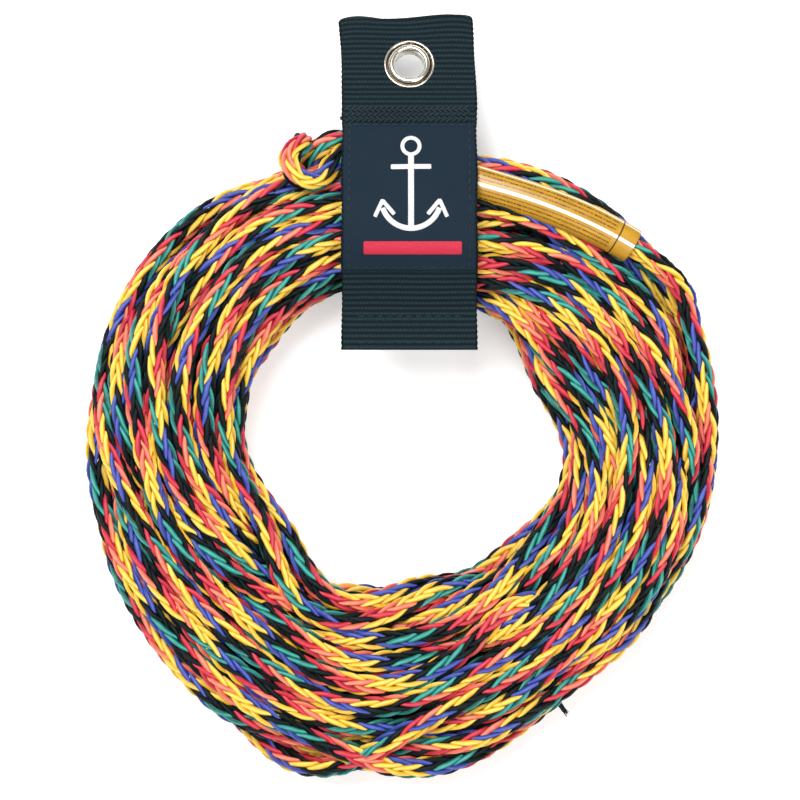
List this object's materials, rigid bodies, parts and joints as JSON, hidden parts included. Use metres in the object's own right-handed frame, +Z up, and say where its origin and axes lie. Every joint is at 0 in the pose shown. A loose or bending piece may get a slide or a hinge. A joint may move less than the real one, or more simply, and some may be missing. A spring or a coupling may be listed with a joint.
{
  "type": "coiled tow rope with keeper strap",
  "caption": "Braided water-sports tow rope wound into a ring and held by a wide webbing keeper strap that closes inside the ring with touch tape and hangs from a grommet.",
  "frame": {"origin": "middle of the footprint on the floor, lying flat", "axes": "+Z up, the coil lying flat; +Y from the middle of the ring towards the hanging tab; +X to the right seen from above with the tab at the top"},
  "size_m": [0.2422, 0.2916, 0.0569],
  "materials": {
    "rope": "hollow braid of yellow, black, blue, green, crimson and coral polyethylene strands, slightly shiny",
    "sleeve": "amber printed film with rows of small brown dashes and a pale stripe",
    "webbing": "ribbed dark teal-navy polypropylene webbing",
    "label": "fine woven navy label with a plain white motif and a red bar",
    "touch_tape": "dark hook and loop tape",
    "thread": "dark polyester sewing thread",
    "nickel": "bright nickel plate"
  },
  "bodies": {
    "coil": {"rope_coil": "rope", "rope_knot": "rope", "rope_sleeved_pass": "rope", "caution_sleeve": "sleeve", "strap_back": "webbing", "strap_seam": "webbing", "seam_stitching": "thread", "loop_tape": "touch_tape", "loop_tape_stitching": "thread"},
    "front_flap": {"strap_front": "webbing", "woven_label": "label", "label_stitching": "thread", "hook_tape": "touch_tape", "hook_tape_stitching": "thread"},
    "hang_tab": {"strap_tab": "webbing", "grommet_eyelet": "nickel", "grommet_washer": "nickel"}
  },
  "joints": [
    {"name": "flap_open", "type": "hinge", "parent": "coil", "child": "front_flap", "pos_m": [0.0024, 0.104, 0.0398], "axis": [-1, 0, 0], "range_deg": [0, 100]},
    {"name": "tab_flex", "type": "hinge", "parent": "coil", "child": "hang_tab", "pos_m": [0.0024, 0.111, 0.0364], "axis": [1, 0, 0], "range_deg": [-15, 30], "stiffness_Nm_per_rad": 0.05}
  ]
}
